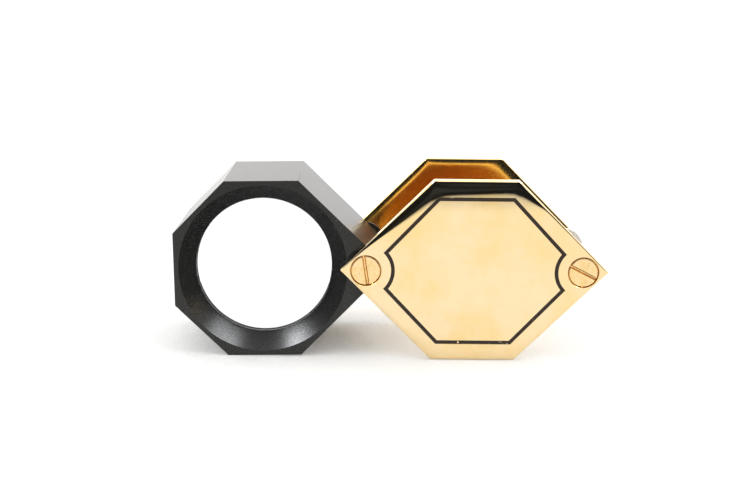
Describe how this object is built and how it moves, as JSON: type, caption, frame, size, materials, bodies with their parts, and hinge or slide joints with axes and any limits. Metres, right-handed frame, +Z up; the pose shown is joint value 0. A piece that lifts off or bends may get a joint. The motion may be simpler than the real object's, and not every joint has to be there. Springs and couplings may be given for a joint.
{
  "type": "jewelers loupe",
  "caption": "Folding pocket magnifier: a triplet lens in a black faceted housing that swings out on a pivot from between gold-plated cover plates.",
  "frame": {"origin": "on the ground under the middle of the whole loupe as it lies opened out, case level and lens head swung out", "axes": "+X from the lens head towards the case, -Y out of the engraved front plate, +Z up; the pivot axis runs along Y"},
  "size_m": [0.0644, 0.0234, 0.0272],
  "materials": {
    "gold_plate": "mirror-polished gold plate on brass",
    "screw_gold": "polished gold plate with fine turning marks",
    "black_enamel": "black enamel fill",
    "pivot_steel": "turned steel",
    "spacer_nickel": "bright nickel on turned steel",
    "blackened_steel": "blackened",
    "black_anodised": "satin black anodised",
    "seat_plastic": "matt black",
    "flint_glass": "polished, coated",
    "crown_glass": "polished"
  },
  "bodies": {
    "case": {"front_cover_plate": "gold_plate", "rear_cover_plate": "gold_plate", "front_border_enamel": "black_enamel", "pivot_post": "pivot_steel", "pivot_washer": "blackened_steel", "pivot_spring_washer": "blackened_steel", "pivot_screw_front": "screw_gold", "pivot_screw_rear": "screw_gold", "spacer_post": "spacer_nickel", "spacer_washer": "spacer_nickel", "spacer_screw_front": "screw_gold", "spacer_screw_rear": "screw_gold"},
    "lens_head": {"lens_housing": "black_anodised", "front_seat_ring": "seat_plastic", "lens_front_flint": "flint_glass", "lens_centre_crown": "crown_glass", "lens_rear_flint": "flint_glass", "rear_seat_ring": "seat_plastic", "retaining_ring": "black_anodised"}
  },
  "joints": [
    {"name": "head_swing", "type": "hinge", "parent": "case", "child": "lens_head", "pos_m": [-0.00368, 0, 0.0136], "axis": [0, 1, 0], "continuous": true}
  ]
}
